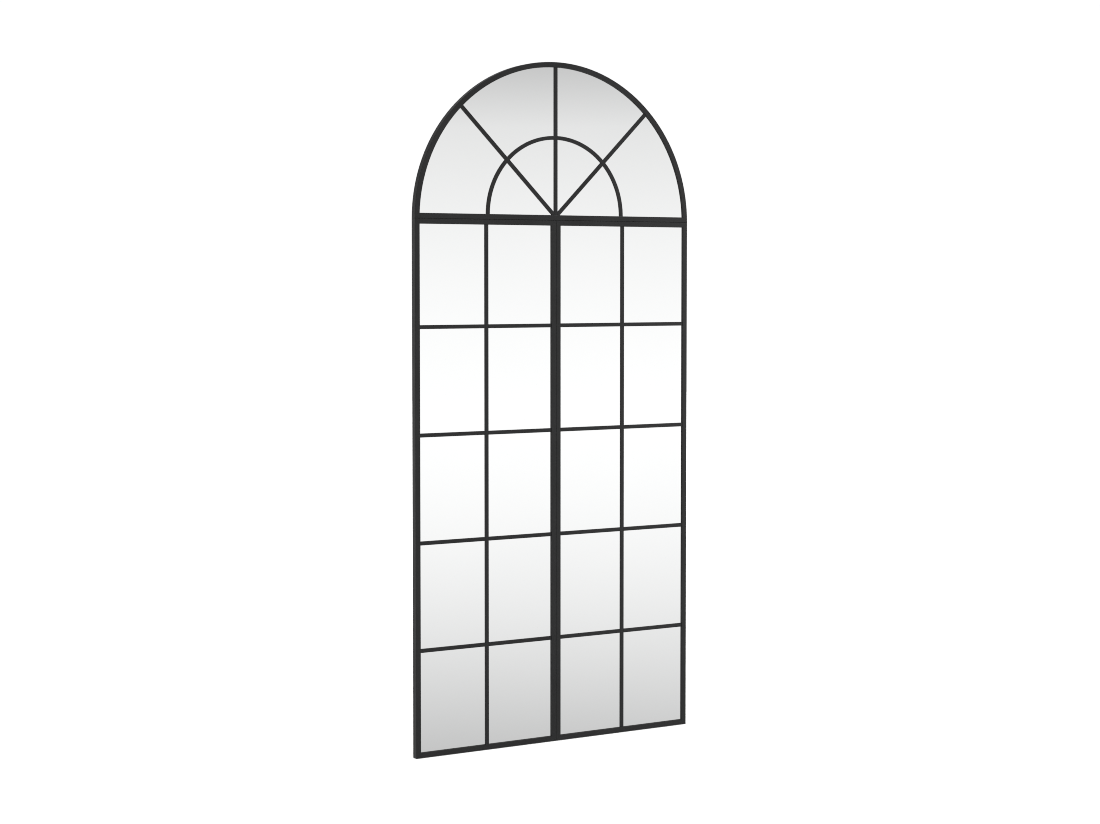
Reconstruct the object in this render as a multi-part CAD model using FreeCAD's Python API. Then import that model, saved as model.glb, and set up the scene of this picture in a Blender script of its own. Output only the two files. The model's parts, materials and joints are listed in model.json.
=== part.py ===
import FreeCAD, Part
import math
import os

# Arched wall mirror in three bolted sections: a half-round arch on two rectangular panels.
# Millimetres. X runs to the right seen from the front, +Y to the wall and +Z up.
# The origin is the bottom centre of the wall plane.

Vector = FreeCAD.Vector

# Panels
panel_width = 450.0
panel_height = 1500.0
pane_rows = 5

# Steel angle of the frames: a front flange and a leg that runs back to the wall
frame_face = 15.0
frame_depth = 20.0
frame_steel = 3.0
heel_chamfer = 1.0
toe_chamfer = 0.6
root_chamfer = 1.5

# Glazing bars in front of the glass
bar_width = 11.0
bar_thickness = 3.0
bar_chamfer = 0.5
lap_depth = 1.5
fan_lean_degrees = 45.0
fan_hub_drop = 5.0
inner_arc_radius = 220.0

# Mirror sheet, backing board and glazing tape
sheet_lap = 3.5
glass_thickness = 3.0
board_thickness = 3.0
tape_thickness = 1.5
tape_setback = 0.5
sheet_clearance = 0.5

# Setting blocks under the lower edge of each sheet
block_length = 30.0
block_spread = 225.0

# Lugs, turn buttons and their screws
lug_length = 14.0
button_width = 7.0
button_reach = 14.0
button_thickness = 1.5
button_side_gap = 1.0
button_end_play = 0.1
button_chamfer = 1.5
button_inset = 375.0
arch_button_lean_degrees = 65.0
screw_diameter = 3.0
screw_length = 6.0
screw_across_flats = 5.5
screw_head_height = 2.0
pivot_clearance = 0.08
thread_clearance = 0.05
thread_spare = 0.7

# Keyhole hanger plates
hanger_width = 40.0
hanger_height = 30.0
hanger_steel = 2.0
hanger_chamfer = 4.0
hanger_spread = 300.0
arch_hanger_spread = 320.0
keyhole_entry_diameter = 10.0
keyhole_slot_width = 5.0
keyhole_rise = 9.0
keyhole_drop = 20.0

# Bolts that join the sections
bolt_diameter = 5.0
bolt_length = 12.0
bolt_hole_diameter = 5.5
bolt_from_wall = 8.5
bolt_across_flats = 8.0
bolt_head_height = 3.5
nut_height = 4.0
seam_bolt_inset = 150.0

# Planes, radii and places that follow from the sizes above
front = -frame_depth
flange_back = front + frame_steel
glass_front = flange_back + tape_thickness
glass_back = glass_front + glass_thickness
board_back = glass_back + board_thickness
bar_front = glass_front - bar_thickness
lap_plane = bar_front + lap_depth
sheet_inset = frame_face - sheet_lap
lug_width = sheet_inset - frame_steel - sheet_clearance
pivot_inset = frame_steel + button_side_gap + button_width / 2
button_front = board_back + button_end_play
screw_seat = button_front + button_thickness + button_end_play
arch_radius = panel_width
arch_sill = panel_height + frame_face
fan_hub = arch_sill - fan_hub_drop
fan_angles = {"left": 90 + fan_lean_degrees, "centre": 90, "right": 90 - fan_lean_degrees}
arch_button_angles = {
    "right": 90 - arch_button_lean_degrees,
    "top": 90,
    "left": 90 + arch_button_lean_degrees,
}
button_heights = {"low": button_inset, "high": panel_height - button_inset}
seam_bolt_heights = (seam_bolt_inset, panel_height / 2, panel_height - seam_bolt_inset)
seam_bolt_places = (seam_bolt_inset, panel_width - seam_bolt_inset)
past = 1.0

right = Vector(1, 0, 0)
to_wall = Vector(0, 1, 0)
up = Vector(0, 0, 1)
arch_centre = Vector(0, 0, panel_height)


def outline(corners, place):
    """A closed wire through (u, v) corners; place turns u and v into a point."""
    points = [place(u, v) for u, v in corners]
    return Part.makePolygon(points + points[:1])


def wall_plate(corners, near, far):
    """A flat solid between two depths, from (x, z) corners."""
    face = Part.Face(outline(corners, lambda x, z: Vector(x, near, z)))
    return face.extrude(to_wall * (far - near))


def wall_disc(x, z, radius, near, far):
    """A round solid along Y between two depths."""
    return Part.makeCylinder(radius, far - near, Vector(x, near, z), to_wall)


def rectangle(low_x, low_z, high_x, high_z):
    """Square corners of a plate, in order."""
    return [(low_x, low_z), (high_x, low_z), (high_x, high_z), (low_x, high_z)]


def clipped(low_u, low_v, high_u, high_v, cut):
    """Corners of a plate, in order, with each square corner cut off."""
    return [
        (low_u, low_v + cut),
        (low_u + cut, low_v),
        (high_u - cut, low_v),
        (high_u, low_v + cut),
        (high_u, high_v - cut),
        (high_u - cut, high_v),
        (low_u + cut, high_v),
        (low_u, high_v - cut),
    ]


def angle_corners():
    """The steel angle's section: distance in from the outside edge, and depth."""
    return [
        (0, front + heel_chamfer),
        (heel_chamfer, front),
        (frame_face - toe_chamfer, front),
        (frame_face, front + toe_chamfer),
        (frame_face, flange_back),
        (frame_steel + root_chamfer, flange_back),
        (frame_steel, flange_back + root_chamfer),
        (frame_steel, 0),
        (0, 0),
    ]


def bar_corners(middle):
    """The flat bar's section about a middle line, with its front edges eased."""
    half = bar_width / 2
    return [
        (middle - half, bar_front + bar_chamfer),
        (middle - half + bar_chamfer, bar_front),
        (middle + half - bar_chamfer, bar_front),
        (middle + half, bar_front + bar_chamfer),
        (middle + half, glass_front),
        (middle - half, glass_front),
    ]


def extruded(corners, start, inward, along, length):
    """A section at a start point, with u running inward and v to the wall, drawn out along a direction."""
    face = Part.Face(outline(corners, lambda u, v: start + inward * u + to_wall * v))
    return face.extrude(along * length)


def around_arch(corners, centre, radius, start_angle, sweep):
    """A section, with u measured in from a radius, turned about an axis along Y; angles run up from +X."""
    face = Part.Face(outline(corners, lambda u, v: centre + right * (radius - u) + to_wall * v))
    face.rotate(centre, -to_wall, start_angle + sweep)
    return face.revolve(centre, to_wall, sweep)


def mitred_member(start, inward, along, length):
    """A straight angle member, cut at 45 degrees at both ends where it meets its neighbours."""
    bar = extruded(angle_corners(), start - along * past, inward, along, length + 2 * past)
    reach = frame_face + past
    keep = [(-past, -past), (reach, reach), (length - reach, reach), (length + past, -past)]
    points = [start + along * l + inward * a + to_wall * (front - past) for l, a in keep]
    prism = Part.Face(Part.makePolygon(points + points[:1])).extrude(to_wall * (frame_depth + 2 * past))
    return bar.common(prism)


def sill_prism():
    """The space that the arch's base rail keeps, with the planes of its mitres run on past the ring."""
    inner_half = math.sqrt((arch_radius - frame_face) ** 2 - frame_face ** 2)
    mitre = Vector(inner_half - arch_radius, 0, frame_face)
    low = Vector(arch_radius, 0, panel_height) - mitre
    high = Vector(inner_half, 0, arch_sill) + mitre
    corners = [(-low.x, low.z), (low.x, low.z), (high.x, high.z), (-high.x, high.z)]
    return wall_plate(corners, front - past, past)


def arch_plate(inset, near, far):
    """A half-round plate that keeps an inset from the outside of the arch section."""
    disc = wall_disc(0, panel_height, arch_radius - inset, near, far)
    return disc.common(wall_plate(arch_box(inset), near, far))


def arch_box(inset):
    """Corners of a box that holds all of the arch above an inset from its base."""
    return rectangle(-arch_radius, panel_height + inset, arch_radius, panel_height + arch_radius)


def panel_plate(low_x, inset, near, far):
    """A rectangular plate that keeps an inset from the outside of a panel."""
    corners = rectangle(low_x + inset, inset, low_x + panel_width - inset, panel_height - inset)
    return wall_plate(corners, near, far)


def lug_corners():
    """A lug's section, with its corner cut back to clear the angle's inner corner."""
    inner = frame_steel + lug_width
    return [
        (frame_steel, flange_back + root_chamfer),
        (frame_steel + root_chamfer, flange_back),
        (inner, flange_back),
        (inner, board_back),
        (frame_steel, board_back),
    ]


def drilled_lug(lug, pivot):
    """A lug with the blind hole for its turn button's screw."""
    depth = screw_length - (screw_seat - board_back) + thread_spare
    radius = screw_diameter / 2 + thread_clearance
    return lug.cut(wall_disc(pivot.x, pivot.z, radius, board_back - depth, board_back))


def turn_button(pivot, inward):
    """A flat button with clipped corners on its screw; at rest it points inward over the board."""
    half = button_width / 2
    sideways = inward.cross(to_wall)
    corners = clipped(-half, -half, button_reach + half, half, button_chamfer)
    base = Vector(pivot.x, button_front, pivot.z)
    face = Part.Face(outline(corners, lambda u, v: base + inward * u + sideways * v))
    hole_radius = screw_diameter / 2 + pivot_clearance
    hole = wall_disc(pivot.x, pivot.z, hole_radius, button_front, button_front + button_thickness)
    return face.extrude(to_wall * button_thickness).cut(hole)


def turn_button_screw(pivot):
    """A hexagon-headed screw through a turn button into its lug."""
    shank = wall_disc(pivot.x, pivot.z, screw_diameter / 2, screw_seat - screw_length, screw_seat)
    seat = Vector(pivot.x, screw_seat, pivot.z)
    return hexagon(seat, to_wall, up, screw_across_flats, screw_head_height).fuse(shank)


def keyhole(x, z):
    """The cutter for a keyhole: a round entry with a narrower slot above it."""
    half = keyhole_slot_width / 2
    near = -hanger_steel - past
    top = z + keyhole_rise
    slot = wall_plate(rectangle(x - half, z, x + half, top), near, past)
    entry = wall_disc(x, z, keyhole_entry_diameter / 2, near, past)
    return entry.fuse([slot, wall_disc(x, top, half, near, past)])


def hanger_plate(x, top, high):
    """A keyhole plate on the wall plane; it runs up to high, and its keyhole is set from top."""
    low = top - hanger_height
    half = hanger_width / 2
    corners = [
        (x - half, low + hanger_chamfer),
        (x - half + hanger_chamfer, low),
        (x + half - hanger_chamfer, low),
        (x + half, low + hanger_chamfer),
        (x + half, high),
        (x - half, high),
    ]
    return wall_plate(corners, -hanger_steel, 0).cut(keyhole(x, top - keyhole_drop))


def arch_hanger_plate(x):
    """A keyhole plate whose upper edge follows the ring's leg."""
    inside = arch_radius - frame_steel
    outer_x = abs(x) + hanger_width / 2
    top = panel_height + math.sqrt(inside ** 2 - outer_x ** 2)
    plate = hanger_plate(x, top, panel_height + arch_radius)
    return plate.common(wall_disc(0, panel_height, inside, -hanger_steel - past, past))


def hexagon(start, along, flat_way, across_flats, height):
    """A hexagonal prism drawn out along a direction, with one of its flats facing flat_way."""
    corner_radius = across_flats / 2 / math.cos(math.pi / 6)
    sideways = along.cross(flat_way)
    points = []
    for step in range(6):
        turn = math.radians(60 * step)
        points.append(start + (sideways * math.cos(turn) + flat_way * math.sin(turn)) * corner_radius)
    return Part.Face(Part.makePolygon(points + points[:1])).extrude(along * height)


def bolt_set(seam, along):
    """A bolt and nut through two legs that meet at a seam point, and the hole through both legs."""
    head_seat = seam - along * frame_steel
    head_end = head_seat - along * bolt_head_height
    nut_seat = seam + along * frame_steel
    shank = Part.makeCylinder(bolt_diameter / 2, bolt_length, head_seat, along)
    bolt = hexagon(head_end, along, to_wall, bolt_across_flats, bolt_head_height).fuse(shank)
    nut_bore = Part.makeCylinder(bolt_diameter / 2 + thread_clearance, nut_height, nut_seat, along)
    nut = hexagon(nut_seat, along, to_wall, bolt_across_flats, nut_height).cut(nut_bore)
    hole_start = head_seat - along * past
    hole_length = 2 * (frame_steel + past)
    hole = Part.makeCylinder(bolt_hole_diameter / 2, hole_length, hole_start, along)
    return bolt, nut, hole


def setting_blocks(middle_x, base_z):
    """Two blocks between a lower leg and the sheet and board, clear of the angle's inner corner."""
    near = flange_back + root_chamfer
    blocks = []
    for side in (-1, 1):
        low_x = middle_x + side * block_spread / 2 - block_length / 2
        corners = rectangle(low_x, base_z + frame_steel, low_x + block_length, base_z + sheet_inset)
        blocks.append(wall_plate(corners, near, board_back))
    return Part.makeCompound(blocks)


def panel_bars(low_x):
    """The upright bar and the cross bars of one panel, half-lapped so that their fronts lie flush."""
    middle_x = low_x + panel_width / 2
    half = bar_width / 2
    upright_start = Vector(middle_x, 0, frame_face)
    upright = extruded(bar_corners(0), upright_start, right, up, panel_height - 2 * frame_face)
    upright_lap = rectangle(middle_x - half, 0, middle_x + half, panel_height)
    bars = {}
    for row in range(1, pane_rows):
        z = row * panel_height / pane_rows
        cross_start = Vector(low_x + frame_face, 0, z)
        cross = extruded(bar_corners(0), cross_start, up, right, panel_width - 2 * frame_face)
        cross_lap = rectangle(low_x, z - half, low_x + panel_width, z + half)
        upright = upright.cut(wall_plate(cross_lap, lap_plane, glass_front + past))
        bars[f"cross_bar_{row}"] = cross.cut(wall_plate(upright_lap, bar_front - past, lap_plane))
    bars["upright_bar"] = upright
    return bars


def arch_bars():
    """The fan bars and the inner half-ring, half-lapped where they cross."""
    sill_centre = Vector(0, 0, arch_sill)
    arc_outside = inner_arc_radius + bar_width / 2
    inner_arc = around_arch(bar_corners(bar_width / 2), sill_centre, arc_outside, 0, 180)
    arc_lap = wall_disc(0, arch_sill, arc_outside, bar_front - past, lap_plane)
    arc_lap = arc_lap.cut(wall_disc(0, arch_sill, arc_outside - bar_width, bar_front - past, lap_plane))
    inside = arch_plate(frame_face, bar_front - past, glass_front + past)
    bars = {}
    for side, angle in fan_angles.items():
        turn = math.radians(angle)
        along = Vector(math.cos(turn), 0, math.sin(turn))
        sideways = along.cross(to_wall)
        start = Vector(0, 0, fan_hub)
        fan = extruded(bar_corners(0), start, sideways, along, arch_radius).common(inside)
        if side != "centre":
            beside = math.copysign(bar_width / 2, along.x)
            edge = math.copysign(arch_radius, along.x)
            space = rectangle(min(beside, edge), panel_height, max(beside, edge), panel_height + arch_radius)
            fan = fan.common(wall_plate(space, bar_front - past, glass_front + past))
        lap_start = start + to_wall * lap_plane - sideways * (bar_width / 2)
        lap_face = Part.makePlane(bar_width, arch_radius, lap_start, to_wall, sideways)
        inner_arc = inner_arc.cut(lap_face.extrude(to_wall * (glass_front + past - lap_plane)))
        bars[f"fan_bar_{side}"] = fan.cut(arc_lap)
    bars["inner_arc"] = inner_arc
    return bars


def panel(side, low_x):
    """All the pieces of one panel but its fasteners, and the pivots of its turn buttons."""
    high_x = low_x + panel_width
    middle_x = low_x + panel_width / 2
    stiles = {"left": "outer_stile", "right": "inner_stile"}
    if side == "right":
        stiles = {"left": "inner_stile", "right": "outer_stile"}
    low_corner = Vector(low_x, 0, 0)
    pieces = {
        stiles["left"]: mitred_member(low_corner, right, up, panel_height),
        stiles["right"]: mitred_member(Vector(high_x, 0, 0), -right, up, panel_height),
        "bottom_rail": mitred_member(low_corner, up, right, panel_width),
        "top_rail": mitred_member(Vector(low_x, 0, panel_height), -up, right, panel_width),
    }
    pieces.update(panel_bars(low_x))
    pieces["glazing_tape"] = panel_plate(low_x, sheet_inset, flange_back, glass_front).cut(
        panel_plate(low_x, frame_face - tape_setback, flange_back, glass_front)
    )
    pieces["mirror_sheet"] = panel_plate(low_x, sheet_inset, glass_front, glass_back)
    pieces["backing_board"] = panel_plate(low_x, sheet_inset, glass_back, board_back)
    pieces["setting_blocks"] = setting_blocks(middle_x, 0)
    leg_under = panel_height - frame_steel
    hanger_places = [middle_x - hanger_spread / 2, middle_x + hanger_spread / 2]
    hangers = [hanger_plate(x, leg_under, leg_under) for x in hanger_places]
    pieces["hanger_plates"] = Part.makeCompound(hangers)
    lugs = []
    pivots = []
    for edge, inward in ((low_x, right), (high_x, -right)):
        stile = stiles["left"] if inward.x > 0 else stiles["right"]
        for level, z in button_heights.items():
            pivot = Vector(edge, 0, z) + inward * pivot_inset
            lug_start = Vector(edge, 0, z - lug_length / 2)
            lugs.append(drilled_lug(extruded(lug_corners(), lug_start, inward, up, lug_length), pivot))
            pieces[f"{stile.split('_')[0]}_{level}_turn_button"] = turn_button(pivot, inward)
            pivots.append(pivot)
    pieces["button_lugs"] = Part.makeCompound(lugs)
    return {f"{side}_panel_{name}": shape for name, shape in pieces.items()}, pivots


def arch():
    """All the pieces of the arch section but its fasteners, and the pivots of its turn buttons."""
    sill = sill_prism()
    overrun = math.degrees(frame_face / 2 / arch_radius)
    rail_start = Vector(-arch_radius - past, 0, panel_height)
    pieces = {
        "ring": around_arch(angle_corners(), arch_centre, arch_radius, -overrun, 180 + 2 * overrun).cut(sill),
        "base_rail": extruded(angle_corners(), rail_start, up, right, 2 * (arch_radius + past)).common(sill),
    }
    pieces.update(arch_bars())
    pieces["glazing_tape"] = arch_plate(sheet_inset, flange_back, glass_front).cut(
        arch_plate(frame_face - tape_setback, flange_back, glass_front)
    )
    pieces["mirror_sheet"] = arch_plate(sheet_inset, glass_front, glass_back)
    pieces["backing_board"] = arch_plate(sheet_inset, glass_back, board_back)
    pieces["setting_blocks"] = setting_blocks(0, panel_height)
    hangers = [arch_hanger_plate(place * arch_hanger_spread / 2) for place in (-1, 1)]
    pieces["hanger_plates"] = Part.makeCompound(hangers)
    lug_sweep = math.degrees(lug_length / (arch_radius - frame_steel))
    lugs = []
    pivots = []
    for name, angle in arch_button_angles.items():
        turn = math.radians(angle)
        outward = Vector(math.cos(turn), 0, math.sin(turn))
        pivot = arch_centre + outward * (arch_radius - pivot_inset)
        lug = around_arch(lug_corners(), arch_centre, arch_radius, angle - lug_sweep / 2, lug_sweep)
        lugs.append(drilled_lug(lug, pivot))
        pieces[f"{name}_turn_button"] = turn_button(pivot, -outward)
        pivots.append(pivot)
    pieces["button_lugs"] = Part.makeCompound(lugs)
    return {f"arch_{name}": shape for name, shape in pieces.items()}, pivots


def join_sections(nodes):
    """Bolts the three sections together: drills the legs that meet and adds the fasteners."""
    depth = to_wall * -bolt_from_wall
    inner_stiles = ("left_panel_inner_stile", "right_panel_inner_stile")
    joins = [(up * z + depth, right, inner_stiles) for z in seam_bolt_heights]
    for side, sign in (("left", -1), ("right", 1)):
        for place in seam_bolt_places:
            seam = arch_centre + right * (sign * place) + depth
            joins.append((seam, up, (f"{side}_panel_top_rail", "arch_base_rail")))
    bolts, nuts = [], []
    for seam, along, members in joins:
        bolt, nut, hole = bolt_set(seam, along)
        bolts.append(bolt)
        nuts.append(nut)
        for member in members:
            nodes[member] = nodes[member].cut(hole)
    nodes["joining_bolts"] = Part.makeCompound(bolts)
    nodes["joining_nuts"] = Part.makeCompound(nuts)


def main():
    """Builds every piece and writes one file for each."""
    nodes = {}
    pivots = []
    for pieces, section_pivots in (panel("left", -panel_width), panel("right", 0.0), arch()):
        nodes.update(pieces)
        pivots += section_pivots
    nodes["turn_button_screws"] = Part.makeCompound([turn_button_screw(pivot) for pivot in pivots])
    join_sections(nodes)
    os.makedirs("parts", exist_ok=True)
    for name, shape in nodes.items():
        shape.exportStep(f"parts/{name}.step")


main()
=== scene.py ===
"""Arched wall mirror: the finishes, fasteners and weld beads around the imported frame, and the studio."""

import json
import logging
import math
from abc import ABC, abstractmethod
from dataclasses import dataclass
from enum import Enum

import bmesh
import bpy
from bmesh.types import BMesh, BMVert
from bpy.types import Camera, Collection, Light, Material, Mesh, Node, NodeSocket, NodeTree, Object
from mathutils import Matrix, Vector


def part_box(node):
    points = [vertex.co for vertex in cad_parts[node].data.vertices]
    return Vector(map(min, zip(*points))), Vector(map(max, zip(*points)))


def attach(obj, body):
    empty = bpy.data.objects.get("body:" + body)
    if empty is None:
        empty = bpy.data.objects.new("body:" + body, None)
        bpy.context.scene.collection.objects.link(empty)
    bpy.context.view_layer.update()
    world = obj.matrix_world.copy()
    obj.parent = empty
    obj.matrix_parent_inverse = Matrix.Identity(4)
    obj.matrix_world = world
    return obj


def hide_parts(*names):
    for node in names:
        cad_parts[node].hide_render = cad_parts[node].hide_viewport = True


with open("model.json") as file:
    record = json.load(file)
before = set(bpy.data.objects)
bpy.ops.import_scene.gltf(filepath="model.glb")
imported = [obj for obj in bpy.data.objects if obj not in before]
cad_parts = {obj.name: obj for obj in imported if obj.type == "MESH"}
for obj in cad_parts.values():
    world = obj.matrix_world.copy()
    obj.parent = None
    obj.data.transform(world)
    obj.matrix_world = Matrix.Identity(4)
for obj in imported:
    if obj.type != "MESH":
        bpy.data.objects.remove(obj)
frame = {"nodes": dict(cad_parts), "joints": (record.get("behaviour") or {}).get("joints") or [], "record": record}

log = logging.getLogger("arched_wall_mirror")

Range = tuple[float, float]
Triple = tuple[float, float, float]
Colour = tuple[float, float, float, float]
# The lowest and the highest corner.
Box = tuple[Vector, Vector]
# A place, and a way that leads from it.
Spot = tuple[Vector, Vector]
# The middle of the face under a bolt's head, the way that its rod runs, and the way that a flat faces.
Seat = tuple[Vector, Vector, Vector]

FRAME_BODY = "mirror_frame"
MM = 0.001
TO_WALL = Vector((0.0, 1.0, 0.0))
RIGHT = Vector((1.0, 0.0, 0.0))
UP = Vector((0.0, 0.0, 1.0))
SIDES = (-1.0, 1.0)
HEXAGON = 6
WHITE = (1.0, 1.0, 1.0, 1.0)
# A cloudy pattern lies between these heights nearly everywhere.
NOISE_LOW = 0.3
NOISE_HIGH = 0.7
# Points that are closer than this are one point.
SAME_PLACE = 0.001 * MM
# Faces that turn by less than this are one flat, after a cut and before edges are eased.
CUT_FLAT = math.radians(0.2)
EASED_FLAT = math.radians(0.3)
# Edges that turn by more than this are eased, or shaded sharp on pieces that keep their edges.
EASED_FROM = math.radians(25.0)
SHARP_FROM = math.radians(40.0)
EASED_SEGMENTS = 2
# The render's pixel filter, about as crisp as the photograph.
PIXEL_FILTER = 1.0


class Slot(Enum):
    """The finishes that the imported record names."""

    BLACK = "black_powder_coat"
    MIRROR = "mirror_glass"
    BOARD = "backing_board"
    TAPE = "glazing_tape"
    BLOCK = "setting_block"
    ZINC = "zinc_plated_steel"


Materials = dict[Slot, Material]


class Cut(Enum):
    """How one solid changes another."""

    KEEP_SHARED = "INTERSECT"
    TAKE_AWAY = "DIFFERENCE"
    ADD = "UNION"


class Sum(Enum):
    """The sums that a node works out."""

    ADD = "ADD"
    SUBTRACT = "SUBTRACT"
    MULTIPLY = "MULTIPLY"
    DIVIDE = "DIVIDE"
    POWER = "POWER"
    ROOT = "SQRT"
    LOWER = "MINIMUM"
    HIGHER = "MAXIMUM"
    SMOOTH_HIGHER = "SMOOTH_MAX"


class Axis(Enum):
    """The axes of the wall's plane."""

    X = "X"
    Z = "Z"


@dataclass(frozen=True)
class Clouds:
    """A cloudy pattern: its cycles to the metre, and how many finer octaves are added."""

    scale: float
    detail: float


class NodeSheet:
    """A node tree, with short ways to add its nodes and join them."""

    def __init__(self, tree: NodeTree) -> None:
        """Takes the tree to work on.

        Args:
            tree: A material's or a world's tree.
        """
        self.tree = tree

    def add(self, kind: str) -> Node:
        """Adds a node of the named kind."""
        return self.tree.nodes.new(kind)

    def join(self, source: NodeSocket | float, target: NodeSocket) -> None:
        """Joins a node's output to an input, or sets the input to a constant.

        Args:
            source: The output or the constant.
            target: The input.
        """
        if isinstance(source, float):
            target.default_value = source
        else:
            self.tree.links.new(source, target)

    def work_out(self, kind: Sum, *values: NodeSocket | float) -> NodeSocket:
        """One sum.

        Args:
            kind: Which sum.
            values: The outputs or constants that it is worked out from.

        Returns:
            The result.
        """
        node = self.add("ShaderNodeMath")
        node.operation = kind.value
        for value, target in zip(values, node.inputs):
            self.join(value, target)
        return node.outputs["Value"]


class Shading(NodeSheet):
    """A material under construction, with its shader and its patterns."""

    def __init__(self, name: str) -> None:
        """Starts a material around one shader.

        Args:
            name: The material's name.
        """
        self.material: Material = bpy.data.materials.new(name)
        self.material.use_nodes = True
        super().__init__(self.material.node_tree)
        self.shader = self.tree.nodes["Principled BSDF"]
        self.place = self.add("ShaderNodeTexCoord").outputs["Object"]

    def assign(self, socket: str, value: float | Colour) -> None:
        """Sets one of the shader's own sockets to a constant."""
        self.shader.inputs[socket].default_value = value

    def feed(self, socket: str, source: NodeSocket) -> None:
        """Joins a node's output to one of the shader's sockets."""
        self.join(source, self.shader.inputs[socket])

    def stretched(self, scale: Triple) -> NodeSocket:
        """Object coordinates with each axis scaled by itself.

        Args:
            scale: The factor along each axis.

        Returns:
            The scaled coordinates.
        """
        mapping = self.add("ShaderNodeMapping")
        mapping.inputs["Scale"].default_value = scale
        self.join(self.place, mapping.inputs["Vector"])
        return mapping.outputs["Vector"]

    def noise(self, clouds: Clouds, place: NodeSocket | None = None) -> NodeSocket:
        """A cloudy pattern.

        Args:
            clouds: Its scale and detail.
            place: The coordinates to read, the plain ones if none are given.

        Returns:
            The pattern's height.
        """
        node = self.add("ShaderNodeTexNoise")
        self.join(clouds.scale, node.inputs["Scale"])
        self.join(clouds.detail, node.inputs["Detail"])
        self.join(place or self.place, node.inputs["Vector"])
        return node.outputs["Fac"]

    def cells(self, scale: float) -> NodeSocket:
        """A pattern of small cells.

        Args:
            scale: Cells to the metre.

        Returns:
            The distance from each cell's middle.
        """
        node = self.add("ShaderNodeTexVoronoi")
        self.join(scale, node.inputs["Scale"])
        self.join(self.place, node.inputs["Vector"])
        return node.outputs["Distance"]

    def ribs(self, scale: float, axis: Axis, waver: float) -> NodeSocket:
        """Nearly even parallel ribs.

        Args:
            scale: Three times this many ribs stand in a metre, about.
            axis: The axis that the ribs follow one another along.
            waver: How far the ribs stray from straight.

        Returns:
            The ribs' height from 0 to 1.
        """
        node = self.add("ShaderNodeTexWave")
        node.bands_direction = axis.value
        self.join(scale, node.inputs["Scale"])
        self.join(waver, node.inputs["Distortion"])
        self.join(self.place, node.inputs["Vector"])
        return node.outputs["Fac"]

    def ranged(self, source: NodeSocket, low: float, high: float) -> NodeSocket:
        """Spreads a cloudy pattern over a range.

        Args:
            source: The pattern.
            low: The value at its low spots.
            high: The value at its high spots.

        Returns:
            The value.
        """
        node = self.add("ShaderNodeMapRange")
        self.join(NOISE_LOW, node.inputs["From Min"])
        self.join(NOISE_HIGH, node.inputs["From Max"])
        self.join(low, node.inputs["To Min"])
        self.join(high, node.inputs["To Max"])
        self.join(source, node.inputs["Value"])
        return node.outputs["Result"]

    def mixed(self, source: NodeSocket, low: Triple, high: Triple) -> NodeSocket:
        """A colour that follows a cloudy pattern.

        Args:
            source: The pattern.
            low: The colour at its low spots.
            high: The colour at its high spots.

        Returns:
            The colour.
        """
        node = self.add("ShaderNodeMix")
        node.data_type = "RGBA"
        inputs = {socket.identifier: socket for socket in node.inputs}
        inputs["A_Color"].default_value = (*low, 1.0)
        inputs["B_Color"].default_value = (*high, 1.0)
        self.join(self.ranged(source, 0.0, 1.0), inputs["Factor_Float"])
        return {socket.identifier: socket for socket in node.outputs}["Result_Color"]

    def bump(self, height: NodeSocket, depth: float, strength: float = 1.0) -> None:
        """Raises the surface by a pattern.

        Args:
            height: The pattern.
            depth: How far the surface rises where the pattern is 1, in metres.
            strength: The share of that which shows.
        """
        node = self.add("ShaderNodeBump")
        self.join(depth, node.inputs["Distance"])
        self.join(strength, node.inputs["Strength"])
        self.join(height, node.inputs["Height"])
        self.feed("Normal", node.outputs["Normal"])


class Finish(ABC):
    """A surface finish that makes its own material."""

    @abstractmethod
    def material(self) -> Material:
        """The finish as a material."""


@dataclass(frozen=True)
class PowderCoat(Finish):
    """Matte black powder coat, with its fine orange peel and slightly uneven sheen."""

    name: str = "black_powder_coat"
    deep: Triple = (0.0062, 0.0062, 0.0064)
    dusty: Triple = (0.0100, 0.0100, 0.0104)
    clouds: Clouds = Clouds(9.0, 4.0)
    specks: Clouds = Clouds(1400.0, 1.0)
    speck_share: float = 0.25
    roughness: Range = (0.36, 0.50)
    gloss: float = 0.30
    peel: Clouds = Clouds(850.0, 1.5)
    peel_depth: float = 0.03 * MM

    def material(self) -> Material:
        """Black with dust in its clouds, and bumps about a millimetre across.

        Returns:
            The material.
        """
        coat = Shading(self.name)
        clouds = coat.noise(self.clouds)
        specks = coat.work_out(Sum.MULTIPLY, coat.noise(self.specks), self.speck_share)
        coat.feed("Base Color", coat.mixed(clouds, self.deep, self.dusty))
        coat.feed("Roughness", coat.ranged(coat.work_out(Sum.ADD, clouds, specks), *self.roughness))
        coat.assign("Specular IOR Level", self.gloss)
        coat.bump(coat.noise(self.peel), self.peel_depth)
        return coat.material


@dataclass(frozen=True)
class SilveredGlass(Finish):
    """Silvered float glass, which reflects nearly all light."""

    name: str = "silvered_glass"
    cool: Triple = (0.965, 0.972, 0.970)
    bright: Triple = (0.976, 0.980, 0.979)
    patches: Clouds = Clouds(2.5, 3.0)
    roughness: Range = (0.002, 0.010)

    def material(self) -> Material:
        """A clean mirror with the faintest haze in patches.

        Returns:
            The material.
        """
        glass = Shading(self.name)
        patches = glass.noise(self.patches)
        glass.feed("Base Color", glass.mixed(patches, self.cool, self.bright))
        glass.feed("Roughness", glass.ranged(patches, *self.roughness))
        glass.assign("Metallic", 1.0)
        return glass.material


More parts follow.
